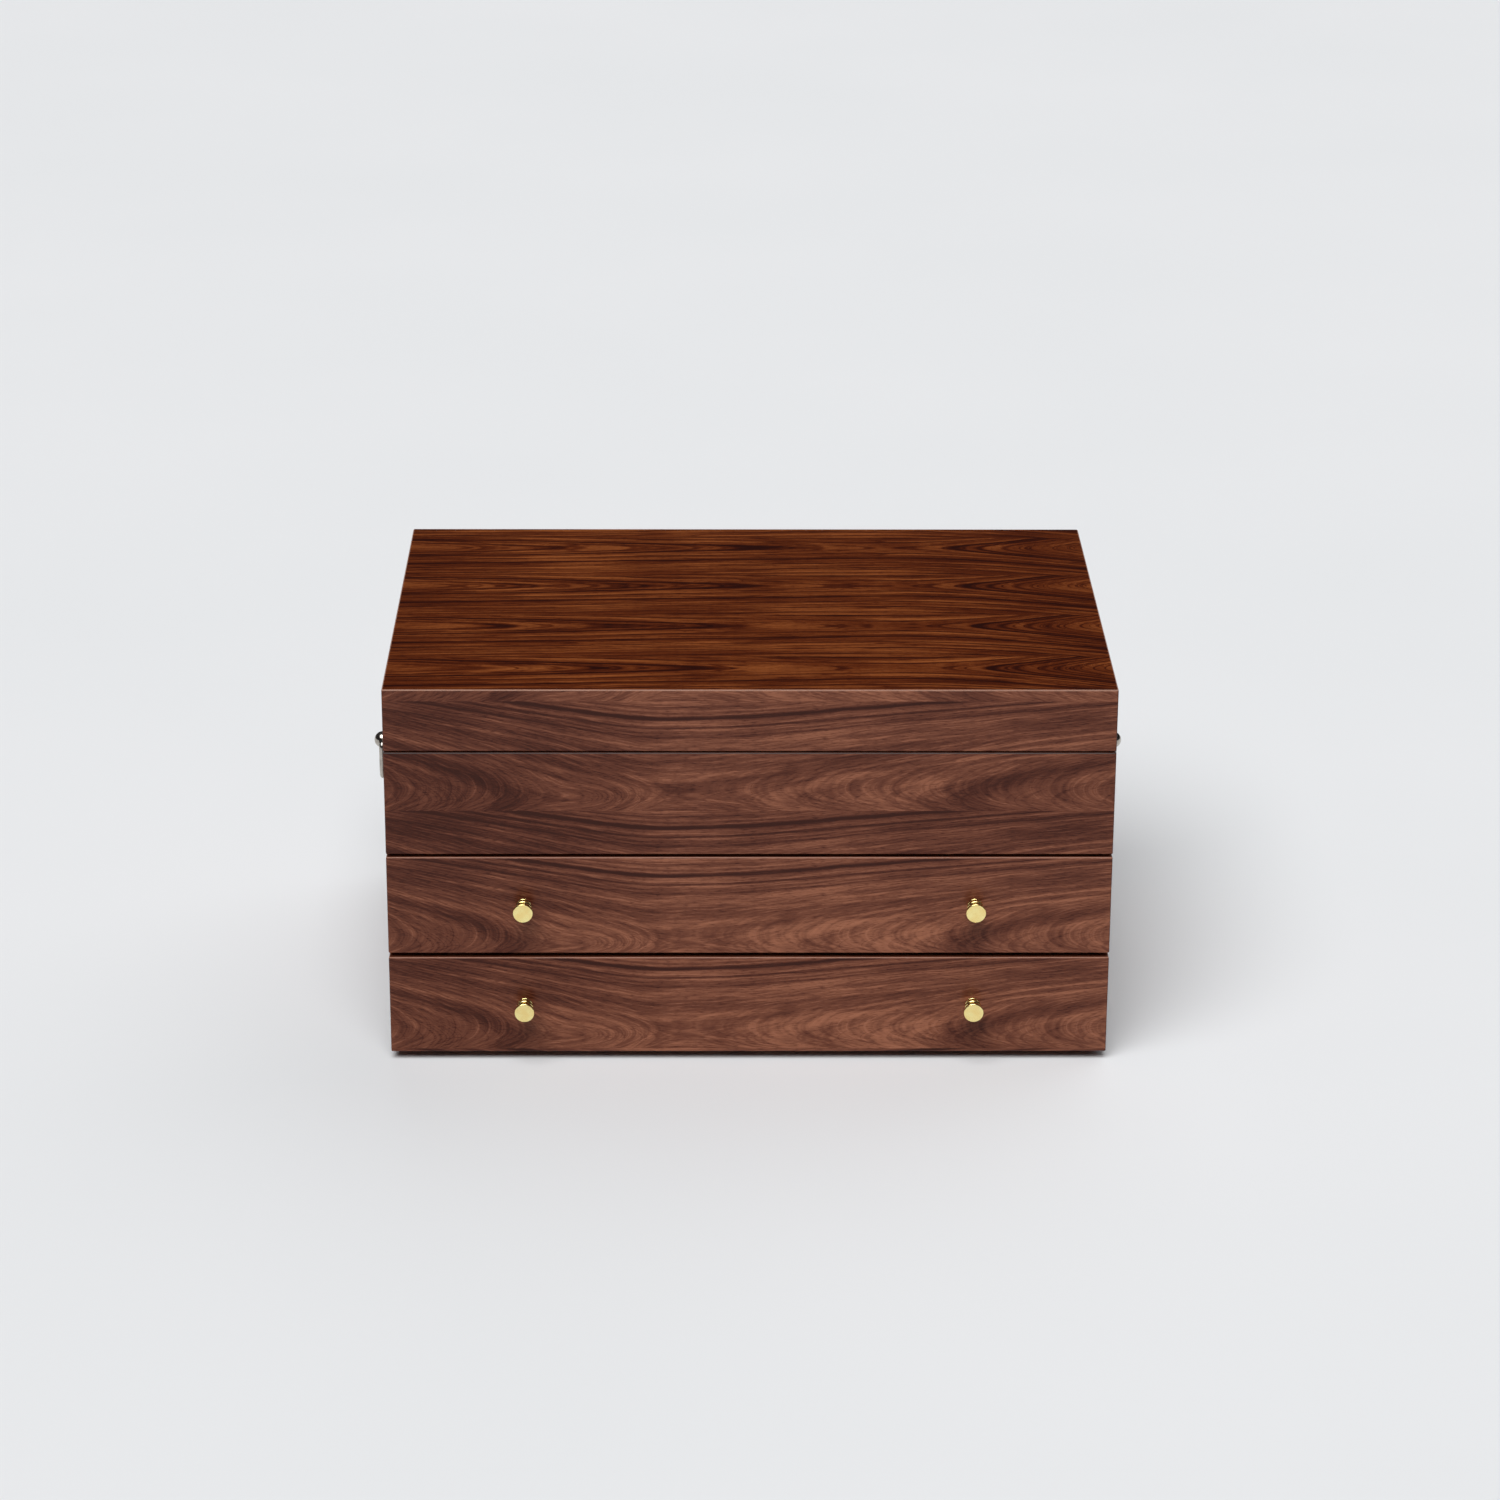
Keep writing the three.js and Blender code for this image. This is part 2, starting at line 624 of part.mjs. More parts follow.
/** One drawer: frontBottom is its front's lower edge, and runTop is what its box slides on. */
function drawer(name, frontBottom, runTop, dividerCount) {
  const group = new THREE.Group();
  chest.add(group);
  const add = (part, geometry, material) => piece(`${name}_${part}`, geometry, material, group);

  const frontTop = frontBottom + drawerFrontHeight;
  const boxBottom = runTop + runClearance;
  const boxTop = frontTop - boxBelowFrontTop;
  const boxX = innerX - slideClearance;
  const hollowX = boxX - drawerWall;
  const boxFrontY = innerFrontY + glueGap;
  const boxBackY = innerBackY - drawerBackClearance;
  const hollowBackY = boxBackY - drawerWall;
  const bottomLow = boxBottom + grooveHeightUp + grooveClearance;
  const bottomHigh = bottomLow + drawerBottomThickness;
  const knobZ = (frontBottom + frontTop) / 2;

  // One groove runs round the inside of the front, the sides and the back, and holds the bottom.
  const groove = box(
    [-hollowX - grooveDepth, innerFrontY - grooveDepth, bottomLow - grooveClearance],
    [hollowX + grooveDepth, hollowBackY + grooveDepth, bottomHigh + grooveClearance],
  );
  const knobHoles = [-1, 1].map((sign) => {
    const x = (sign * knobSpacing) / 2;
    const end = frontY + knobStudLength + boreClearance;
    return rod(1, [x, frontY - 1, knobZ], [x, end, knobZ], knobStudRadius + boreClearance);
  });
  const front = convex(easedBox([-halfWidth, frontY, frontBottom], [halfWidth, innerFrontY, frontTop], ease));
  add("front", cut(front, [groove, ...knobHoles]), walnut);

  for (const [side, low, high] of [["left", -boxX, -hollowX], ["right", hollowX, boxX]]) {
    const wall = box([low, boxFrontY, boxBottom], [high, boxBackY, boxTop]);
    add(`side_${side}`, cut(wall, [groove]), carcass);
  }
  const rear = box(
    [-hollowX + glueGap, hollowBackY, boxBottom],
    [hollowX - glueGap, boxBackY, boxTop],
  );
  add("back", cut(rear, [groove]), carcass);
  const grip = grooveDepth - grooveClearance;
  add("bottom", box(
    [-hollowX - grip, innerFrontY - grip, bottomLow],
    [hollowX + grip, hollowBackY + grip, bottomHigh],
  ), carcass);

  const liningLow = [-hollowX + glueGap, boxFrontY, bottomHigh + grooveClearance + glueGap];
  const liningHigh = [hollowX - glueGap, hollowBackY - glueGap, boxTop - liningBelowRim];
  add("lining", tray(liningLow, liningHigh), suede);

  const softFloor = liningLow[2] + liningThickness + glueGap;
  const insideX = hollowX - glueGap - liningThickness;
  const compartment = (2 * insideX - dividerCount * dividerThickness) / (dividerCount + 1);
  for (let i = 0; i < dividerCount; i++) {
    const x = -insideX + (i + 1) * compartment + (i + 0.5) * dividerThickness;
    add(`divider_${i + 1}`, divider(
      1,
      x,
      liningLow[1] + liningThickness + softClearance,
      liningHigh[1] - liningThickness - softClearance,
      softFloor,
      boxTop - drawerDividerBelowRim - softFloor,
    ), suede);
  }

  for (const [side, sign] of [["left", -1], ["right", 1]]) {
    const knob = turned(knobProfile).rotateX(Math.PI);
    add(`knob_${side}`, knob.translate((sign * knobSpacing) / 2, frontY, knobZ), brass);
  }
}

drawer("upper_drawer", upperDrawerBottom, shelfTop, 2);
drawer("lower_drawer", caseBottom, floorTop, 1);

export default chest;
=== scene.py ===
"""The jewellery chest's looks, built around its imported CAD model.

Lengths are in metres, in the frame of the CAD, except where a comment says mm.
"""

import json
import math

import bmesh
import bpy
from mathutils import Matrix, Vector, noise


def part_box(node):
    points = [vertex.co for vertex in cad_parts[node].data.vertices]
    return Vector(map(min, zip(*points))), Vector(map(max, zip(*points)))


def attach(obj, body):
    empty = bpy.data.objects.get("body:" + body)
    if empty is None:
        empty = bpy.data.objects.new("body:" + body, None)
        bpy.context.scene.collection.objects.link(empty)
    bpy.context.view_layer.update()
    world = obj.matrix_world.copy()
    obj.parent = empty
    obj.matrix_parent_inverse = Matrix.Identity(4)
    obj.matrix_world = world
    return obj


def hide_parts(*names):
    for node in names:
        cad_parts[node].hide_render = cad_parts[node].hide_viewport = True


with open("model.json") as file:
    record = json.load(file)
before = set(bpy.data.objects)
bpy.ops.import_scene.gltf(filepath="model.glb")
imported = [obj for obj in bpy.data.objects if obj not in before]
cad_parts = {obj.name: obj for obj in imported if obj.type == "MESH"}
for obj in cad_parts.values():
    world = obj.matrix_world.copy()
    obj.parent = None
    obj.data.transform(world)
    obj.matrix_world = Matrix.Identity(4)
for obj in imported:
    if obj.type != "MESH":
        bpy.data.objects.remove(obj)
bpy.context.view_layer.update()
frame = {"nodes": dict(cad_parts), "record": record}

MM = 0.001
SHARP = math.radians(34)  # edges that turn more than this stay crisp
NODES = frame["nodes"]
SLOT_OF = {row["node"]: row["material_slot"] for row in frame["record"]["subparts"]}
scene = bpy.context.scene


# ---- Node graphs ----

class Wire:
    """A value in a node graph that adds and multiplies as a number does."""

    def __init__(self, graph, socket):
        self.graph = graph
        self.socket = socket

    def __add__(self, other):
        return self.graph.math("ADD", self, other)

    def __sub__(self, other):
        return self.graph.math("SUBTRACT", self, other)

    def __rsub__(self, other):
        return self.graph.math("SUBTRACT", other, self)

    def __mul__(self, other):
        return self.graph.math("MULTIPLY", self, other)

    def __truediv__(self, other):
        return self.graph.math("DIVIDE", self, other)

    def __abs__(self):
        return self.graph.math("ABSOLUTE", self)


class Graph:
    """The nodes of one material, made by calls that read like formulas."""

    def __init__(self, name):
        self.material = bpy.data.materials.new(name)
        self.material.use_nodes = True
        self.tree = self.material.node_tree
        self.shader = self.tree.nodes["Principled BSDF"]

    def feed(self, socket, value):
        if isinstance(value, Wire):
            self.tree.links.new(value.socket, socket)
        elif value is not None:
            socket.default_value = value

    def node(self, kind, inputs, output=0, **settings):
        made = self.tree.nodes.new(kind)
        for name, value in settings.items():
            setattr(made, name, value)
        for name, value in inputs.items():
            self.feed(made.inputs[name], value)
        return Wire(self, made.outputs[output])

    def math(self, operation, a, b=None):
        return self.node("ShaderNodeMath", {0: a, 1: b}, operation=operation)

    def vector(self, x, y, z):
        return self.node("ShaderNodeCombineXYZ", {"X": x, "Y": y, "Z": z})

    def coordinate(self, output):
        """The X, Y and Z parts of one of the object's own coordinates."""
        split = self.tree.nodes.new("ShaderNodeSeparateXYZ")
        self.feed(split.inputs[0], self.node("ShaderNodeTexCoord", {}, output=output))
        return [Wire(self, split.outputs[axis]) for axis in "XYZ"]

    def place(self):
        """The point's own X, Y and Z on the object, in millimetres."""
        return [part / MM for part in self.coordinate("Object")]

    def normal(self):
        """The X, Y and Z parts of the surface's direction on the object."""
        return self.coordinate("Normal")

    def noise(self, x, y, z, detail=2.0, rough=0.5):
        return self.node("ShaderNodeTexNoise", {
            "Vector": self.vector(x, y, z), "Scale": 1.0, "Detail": detail, "Roughness": rough,
        })

    def noise_along(self, where, detail=2.0, rough=0.5):
        return self.node("ShaderNodeTexNoise", {
            "W": where, "Scale": 1.0, "Detail": detail, "Roughness": rough,
        }, noise_dimensions="1D")

    def ease(self, value, low, high, to_low=0.0, to_high=1.0):
        return self.node("ShaderNodeMapRange", {
            "Value": value, "From Min": low, "From Max": high, "To Min": to_low, "To Max": to_high,
        }, interpolation_type="SMOOTHSTEP")

    def mix(self, share, a, b):
        made = self.tree.nodes.new("ShaderNodeMix")
        made.data_type = "RGBA"
        self.feed(made.inputs["Factor"], share)
        self.feed(made.inputs[6], a)
        self.feed(made.inputs[7], b)
        return Wire(self, made.outputs[2])

    def ramp(self, value, stops):
        made = self.tree.nodes.new("ShaderNodeValToRGB")
        self.feed(made.inputs[0], value)
        elements = made.color_ramp.elements
        while len(elements) < len(stops):
            elements.new(0.5)
        for element, (position, colour) in zip(elements, stops):
            element.position = position
            element.color = colour
        return Wire(self, made.outputs[0])

    def bump(self, height, distance):
        made = self.node("ShaderNodeBump", {"Height": height, "Distance": distance, "Strength": 1.0})
        self.feed(self.shader.inputs["Normal"], made)

    def set(self, **values):
        """Sets or links shader sockets, named with underscores for spaces."""
        for name, value in values.items():
            self.feed(self.shader.inputs[name.replace("_", " ")], value)


def rgb(red, green, blue):
    """A shader colour from one given in sRGB, 0 to 255."""
    def linear(value):
        share = value / 255
        return share / 12.92 if share <= 0.04045 else ((share + 0.055) / 1.055) ** 2.4
    return (linear(red), linear(green), linear(blue), 1.0)


# ---- Veneer ----

# A leaf's figure is a saddle of growth rings about a ridge line. Sizes are in mm: u runs along the
# grain from the origin, and depth runs across the leaf from its seam.
#   deep: the leaf's depth. ridge: the ridge line's depth. tip: how blunt the rings are on it.
#   spread, power: how ring numbers grow away from the ridge.
#   saddle: the u from which the ridge rises to both sides, by left and right, as (slope, bend).
#   sway: how far the rings wander. drift: ring numbers added from one leaf to the next.
#   lens: a closed loop on the ridge, as (u, length, ring numbers).
#   grain: noise cells to a ring. contrast, hair, fibre: how strong the figure, hairlines and fibre are.
#   glow: the low rings are paler, as (ring up to which it is full, ring where it ends, lift).
#   dusk: ends that darken, as (u where it is full, u where it starts, drop).
#   streaks: dark lines, as (ring, half width in rings, drop).
FRONT_LEAF = {
    "deep": 55.8, "ridge": 49.5, "tip": 0.0, "spread": 8.5, "power": 1.7,
    "saddle": -45.0, "left": (0.1135, 30.0), "right": (0.061, 60.0),
    "sway": 3.6, "drift": 0.1, "lens": (-80.0, 24.0, 2.6),
    "grain": 0.95, "contrast": 0.6, "hair": 0.14, "fibre": 0.95, "glow": (-5.0, 1.0, 0.17),
    "dusk": [(-165.0, -20.0, 0.27), (200.0, 20.0, 0.13)],
    "streaks": [(13.9, 1.1, 0.85), (10.9, 0.7, 0.35), (8.2, 0.45, 0.25), (17.6, 0.6, 0.2), (-6.6, 1.2, 0.2)],
}
TOP_LEAF = {
    "deep": 66.0, "ridge": 18.0, "tip": 1.5, "spread": 3.6, "power": 1.15,
    "saddle": 85.0, "left": (0.018, 40.0), "right": (0.16, 90.0),
    "sway": 4.0, "drift": 0.2, "lens": (0.0, 1.0, 0.0),
    "grain": 0.8, "contrast": 0.82, "hair": 0.36, "fibre": 0.5, "glow": (-2.6, -1.1, 0.17),
    "dusk": [(-190.0, -110.0, 0.1), (190.0, 70.0, 0.17)],
    "streaks": [(-1.0, 0.4, 0.6), (-1.9, 0.3, 0.4), (-3.1, 0.35, 0.4), (1.4, 0.35, 0.4), (4.2, 0.45, 0.5),
                (7.6, 0.45, 0.45), (11.4, 0.5, 0.5), (15.0, 0.5, 0.4)],
}
FRONT_TONES = [
    (0.0, rgb(56, 21, 10)), (0.25, rgb(79, 37, 24)), (0.55, rgb(111, 63, 45)), (1.0, rgb(164, 105, 78)),
]
TOP_TONES = [
    (0.0, rgb(38, 5, 0)), (0.25, rgb(62, 17, 0)), (0.55, rgb(92, 38, 8)), (1.0, rgb(148, 82, 38)),
]
# Painted light on a board's upper arrises: a painted highlight, a fainter painted highlight, and painted
# shade where the lid shades the fixed front.
ARRIS_PAINTED_HIGHLIGHT = rgb(214, 168, 146)
ARRIS_FAINT_PAINTED_HIGHLIGHT = rgb(150, 104, 84)
SHADED = rgb(30, 12, 9)
ARRIS_PAINT_SHARE = 0.85  # how much of the upper arris takes its painted highlight or painted shade

# The veneer's noises, in mm along the grain and, where there are two, across it.
SWAY_CELL = (80.0, 34.0)
WAVER_CELL = (26.0, 7.0)
CLOUD_CELL = (60.0, 18.0)
LINE_LENGTH = 110.0
FIBRE_LENGTH = 16.0
PORE_LENGTH = 4.5
EDGING_LENGTH = 40.0
SLICE_STEP = 0.12  # how far the noises move on from one leaf to the next
WAVER = 0.9  # mm
BROAD_SHARE = 0.85
LINES_SHARE = 1.5
CLOUD_SHARE = 0.7
MIDDLE_TONE = 0.55
PORE_DROP = 0.3
PORE_DEPTH = 0.012 * MM


def veneer(name, along, across, seam, leaf, tones, seed, arris, shade=0.0):
    """Walnut veneer in slip-matched leaves under a satin lacquer. A seam between leaves lies at `seam` mm."""
    g = Graph(name)
    axes = dict(zip("XYZ", g.place()))
    facing = dict(zip("XYZ", g.normal()))
    u = axes.pop(along)
    v = seam - axes.pop(across)
    face_axis, through = axes.popitem()
    number = g.math("FLOOR", v / leaf["deep"])
    t = v - number * leaf["deep"]
    slice_seed = number * SLICE_STEP + seed

    # The ring number at this point: distance off the ridge, less the ridge's own rise along the grain.
    sway = (g.noise(u / SWAY_CELL[0], t / SWAY_CELL[1], slice_seed, detail=2.0) - 0.5) * leaf["sway"]
    waver = (g.noise(u / WAVER_CELL[0], t / WAVER_CELL[1], slice_seed, detail=1.0) - 0.5) * WAVER
    off_ridge = (t - leaf["ridge"] + sway * 0.55 + waver) / leaf["spread"]
    d = g.math("SQRT", off_ridge * off_ridge + leaf["tip"] ** 2) - leaf["tip"]
    reach = u - leaf["saddle"] + sway * 3.0
    is_left = g.math("LESS_THAN", reach, 0.0)
    slope = is_left * (leaf["left"][0] - leaf["right"][0]) + leaf["right"][0]
    bend = is_left * (leaf["left"][1] - leaf["right"][1]) + leaf["right"][1]
    rise = slope * (g.math("SQRT", reach * reach + bend * bend) - bend)
    middle, length, amount = leaf["lens"]
    off_middle = (u - middle) / length
    near_lens = g.math("EXPONENT", off_middle * off_middle * -1.0 - d * d * 0.8)
    ring = g.math("POWER", d, leaf["power"]) - rise - near_lens * amount + number * leaf["drift"]

    # The tone: lines that follow the rings, with patches, hairlines, fibre, streaks and darker ends.
    grain = ring * leaf["grain"]
    broad = g.noise_along(grain * 0.42 + seed, detail=1.0, rough=0.5)
    lines = g.noise(u / LINE_LENGTH, grain + seed * 3.0, slice_seed, detail=3.0, rough=0.62)
    line_depth = g.ease(d, 0.2, 2.2, 0.4, 1.0)
    fibre = g.noise(u / FIBRE_LENGTH, grain * 4.0 + t * 0.6, through * 0.9, detail=3.0, rough=0.65)
    cloud = g.noise(u / CLOUD_CELL[0], v / CLOUD_CELL[1], slice_seed, detail=3.0)
    glow_full, glow_none, glow_lift = leaf["glow"]
    glow = g.ease(ring, glow_full, glow_none, glow_lift, 0.0)
    patches = (cloud - 0.5) * CLOUD_SHARE
    figure = (broad - 0.5) * BROAD_SHARE + (lines - 0.5) * line_depth * LINES_SHARE + patches + glow
    hair = g.ease(abs(lines - 0.5), 0.0, 0.035, leaf["hair"], 0.0)
    tone = figure * leaf["contrast"] - hair + (fibre - 0.5) * leaf["fibre"] + MIDDLE_TONE + shade
    for at, half_width, drop in leaf["streaks"]:
        streak = g.ease(abs(ring - at), 0.0, half_width, drop, 0.0)
        tone = tone - streak * g.ease(cloud, 0.25, 0.5, 0.6, 1.0)
    for dark_at, clear_at, drop in leaf["dusk"]:
        tone = tone - g.ease((u - clear_at) / (dark_at - clear_at), 0.0, 1.0, 0.0, drop)
    pores = g.noise(u / PORE_LENGTH, t * 2.4, through * 2.4, detail=2.0, rough=0.6)
    tone = tone - g.ease(pores, 0.52, 0.70, 0.0, PORE_DROP)

    # A board's edges carry straight-grained edging, and its upper arrises, which face up and out, get a
    # painted highlight or painted shade.
    straight = g.noise(u / EDGING_LENGTH, v * 0.7, through * 0.7, detail=4.0, rough=0.65)
    edging = (straight - 0.5) * 1.1 + 0.42
    on_face = g.ease(abs(facing[face_axis]), 0.55, 0.75)
    tone = edging + (tone - edging) * on_face
    painted_light_mask = g.ease(facing["Z"] * (abs(facing["X"]) + abs(facing["Y"])), 0.18, 0.48)
    g.set(
        Base_Color=g.mix(painted_light_mask * ARRIS_PAINT_SHARE, g.ramp(tone, tones), arris),
        Roughness=g.ease(fibre, 0.3, 0.8, 0.20, 0.30),
        Specular_IOR_Level=0.18,
    )
    g.bump(g.ease(pores, 0.5, 0.7, 1.0, 0.0), PORE_DEPTH)
    return g.material


# ---- Other materials ----

def plain_wood(name):
    """Straight-grained board for the hidden parts, sealed matt."""
    g = Graph(name)
    x, y, z = g.place()
    rings = g.noise(x / 60.0, y / 9.0, z / 9.0, detail=4.0, rough=0.6)
    fibre = g.noise(x / 9.0, y * 1.3, z * 1.3, detail=3.0, rough=0.6)
    tone = (rings - 0.5) * 1.3 + (fibre - 0.5) * 0.8 + 0.5
    tones = [(0.0, rgb(118, 84, 58)), (0.5, rgb(152, 112, 80)), (1.0, rgb(180, 140, 104))]
    g.set(
        Base_Color=g.ramp(tone, tones),
        Roughness=g.ease(fibre, 0.3, 0.7, 0.5, 0.62),
        Specular_IOR_Level=0.3,
    )
    g.bump(fibre, 0.03 * MM)
    return g.material


def metal(name, dull, bright, rough):
    """Polished metal with faint tool marks and handling."""
    g = Graph(name)
    x, y, z = g.place()
    marks = g.noise(x * 2.4, y * 2.4, z * 2.4, detail=2.0)
    handled = g.noise(x / 5.0, y / 5.0, z / 5.0, detail=3.0)
    g.set(
        Base_Color=g.mix(g.ease(handled, 0.3, 0.7), dull, bright),
        Metallic=1.0,
        Roughness=g.ease(handled, 0.3, 0.75, rough, rough + 0.08),
    )
    g.bump(marks, 0.003 * MM)
    return g.material


def napped(name, shade, lit, nap_size, sheen):
    """Short-pile cloth: uneven nap that was brushed this way and that."""
    g = Graph(name)
    x, y, z = g.place()
    brushed = g.noise(x / 22.0, y / 16.0, z / 16.0, detail=3.0, rough=0.6)
    nap = g.noise(x / nap_size, y / nap_size, z / nap_size, detail=4.0, rough=0.7)
    tone = (brushed - 0.5) * 0.65 + (nap - 0.5) * 1.0 + 0.5
    g.set(
        Base_Color=g.mix(g.ease(tone, 0.1, 0.9), shade, lit),
        Roughness=g.ease(nap, 0.2, 0.8, 0.86, 1.0),
        Specular_IOR_Level=0.12,
        Sheen_Weight=sheen,
        Sheen_Roughness=0.45,
    )
    g.bump(nap, 0.12 * MM)
    return g.material


def mirror_glass():
    """Silvered glass with the faintest haze."""
    g = Graph("mirror_glass")
    x, y, z = g.place()
    haze = g.noise(x / 30.0, y / 30.0, z / 30.0, detail=3.0)
    g.set(
        Base_Color=g.mix(haze, rgb(226, 230, 231), rgb(236, 240, 241)),
        Metallic=1.0,
        Roughness=g.ease(haze, 0.4, 0.8, 0.01, 0.035),
    )
    return g.material


FINISHES = {
    "carcass_wood": plain_wood("carcass_wood"),
    "suede": napped("suede", rgb(150, 130, 104), rgb(196, 176, 146), 0.5, 0.35),
    "felt_pad": napped("felt_pad", rgb(22, 20, 19), rgb(44, 40, 38), 0.7, 0.2),
    "brass": metal("brass", rgb(250, 224, 148), rgb(255, 240, 168), 0.14),
    "nickel_plate": metal("nickel_plate", rgb(150, 143, 134), rgb(198, 192, 183), 0.16),
    "mirror_glass": mirror_glass(),
}
BOARD_VENEERS = [
    # nodes, grain along, seams across, seam at, leaf, tones, seed, arris painted highlight or painted shade,
    # how much paler
    (("lid_front_rail",), "X", "Z", 203.3, FRONT_LEAF, FRONT_TONES, 2.0, ARRIS_PAINTED_HIGHLIGHT, 0.085),
    (("upper_front",), "X", "Z", 142.5, FRONT_LEAF, FRONT_TONES, 2.0, SHADED, 0.0),
    (("upper_drawer_front",), "X", "Z", 115.5, FRONT_LEAF, FRONT_TONES, 2.0, ARRIS_FAINT_PAINTED_HIGHLIGHT, 0.13),
    (("lower_drawer_front",), "X", "Z", 62.2, FRONT_LEAF, FRONT_TONES, 2.0, ARRIS_FAINT_PAINTED_HIGHLIGHT, 0.13),
    (("case_back",), "X", "Z", 142.5, FRONT_LEAF, FRONT_TONES, 6.0, ARRIS_FAINT_PAINTED_HIGHLIGHT),
    (("lid_back_rail",), "X", "Z", 203.3, FRONT_LEAF, FRONT_TONES, 6.0, ARRIS_FAINT_PAINTED_HIGHLIGHT),
    (("case_side_left", "case_side_right"), "Y", "Z", 142.5, FRONT_LEAF, FRONT_TONES, 11.0, ARRIS_FAINT_PAINTED_HIGHLIGHT),
    (("lid_left_rail", "lid_right_rail"), "Y", "Z", 203.3, FRONT_LEAF, FRONT_TONES, 11.0, ARRIS_FAINT_PAINTED_HIGHLIGHT),
    (("lid_top",), "X", "Y", 53.4, TOP_LEAF, TOP_TONES, 4.0, ARRIS_PAINTED_HIGHLIGHT, 0.105),
]


BOARD_ARRIS = 0.18 * MM
OTHER_ARRIS = 0.12 * MM
WELD_GAP = 0.002 * MM


def finish_frame():
    """Gives every CAD node its material and a fine round along each arris."""
    boards = {}
    for nodes, *facts in BOARD_VENEERS:
        material = veneer("veneer_" + nodes[0], *facts)
        boards.update({node: material for node in nodes})
    for name, node in NODES.items():
        node.data.materials.clear()
        node.data.materials.append(boards.get(name) or FINISHES[SLOT_OF[name]])
        weld = node.modifiers.new("weld", "WELD")
        weld.merge_threshold = WELD_GAP
        bevel = node.modifiers.new("arris", "BEVEL")
        bevel.width = BOARD_ARRIS if name in boards else OTHER_ARRIS
        bevel.segments = 2
        bevel.angle_limit = math.radians(25)


# ---- Mesh helpers ----

def piece(name, bm, body, slot, replaced=()):
    """Makes a piece from a bmesh: smooth, but crisp at sharp edges, and riding on its body."""
    bmesh.ops.recalc_face_normals(bm, faces=bm.faces)
    for face in bm.faces:
        face.smooth = True
    for edge in bm.edges:
        edge.smooth = edge.calc_face_angle(0.0) < SHARP
    mesh = bpy.data.meshes.new(name)
    bm.to_mesh(mesh)
    bm.free()
    made = bpy.data.objects.new(name, mesh)
    scene.collection.objects.link(made)
    mesh.materials.append(FINISHES[slot])
    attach(made, body)
    if replaced:
        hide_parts(*replaced)
    return made


def arc(centre, radius, start, end, steps):
    """Points (radius from the axis, height) on an arc, for a turned profile. Angles are in degrees."""
    angles = [math.radians(start + (end - start) * i / steps) for i in range(steps + 1)]
    return [(centre[0] + radius * math.cos(a), centre[1] + radius * math.sin(a)) for a in angles]


def turned(profile, place, axis, sides=72):
    """A lathe-turned solid. The profile is in mm, from axis to axis, and its height is along `axis`."""
    bm = bmesh.new()
    turn = Vector((0, 0, 1)).rotation_difference(Vector(axis)).to_matrix()
    rings = []
    for radius, height in profile:
        count = 1 if radius == 0 else sides
        ring = []
        for i in range(count):
            angle = 2 * math.pi * i / count
            spot = Vector((radius * math.cos(angle), radius * math.sin(angle), height)) * MM
            ring.append(bm.verts.new(Vector(place) + turn @ spot))
        rings.append(ring)
    for low, high in zip(rings, rings[1:]):
        for i in range(sides):
            corners = [low[i % len(low)], low[(i + 1) % len(low)]]
            corners += [high[(i + 1) % len(high)], high[i % len(high)]]
            bm.faces.new(list(dict.fromkeys(corners)))
    return bm


def soft_block(bm, low, high, radius, step, ripple, seed):
    """Adds a closed cloth-covered block: rounded arrises, and faces that dip by up to `ripple`."""
    low, high = Vector(low), Vector(high)

    def stops(start, end):
        count = max(1, round((end - start - 2 * radius) / step))
        inner = [start + radius + (end - start - 2 * radius) * i / count for i in range(count + 1)]
        return [start, start + 0.4 * radius] + inner + [end - 0.4 * radius, end]

    grid = [stops(a, b) for a, b in zip(low, high)]
    corner = Vector((radius, radius, radius))
    made = {}

    def vertex(key):
        if key not in made:
            spot = Vector([grid[axis][key[axis]] for axis in range(3)])
            core = Vector([min(max(s, a), b) for s, a, b in zip(spot, low + corner, high - corner)])
            outward = (spot - core).normalized()
            dip = ripple * (0.5 + 0.5 * noise.noise(spot / (22 * MM) + Vector((seed, 0, 0))))
            made[key] = bm.verts.new(core + outward * (radius - dip))
        return made[key]

    for axis in range(3):
        first, second = [other for other in range(3) if other != axis]
        for end in (0, len(grid[axis]) - 1):
            for i in range(len(grid[first]) - 1):
                for j in range(len(grid[second]) - 1):
                    corners = []
                    for step_i, step_j in ((0, 0), (1, 0), (1, 1), (0, 1)):
                        key = [0, 0, 0]
                        key[axis], key[first], key[second] = end, i + step_i, j + step_j
                        corners.append(vertex(tuple(key)))
                    bm.faces.new(corners)


# ---- Hardware ----

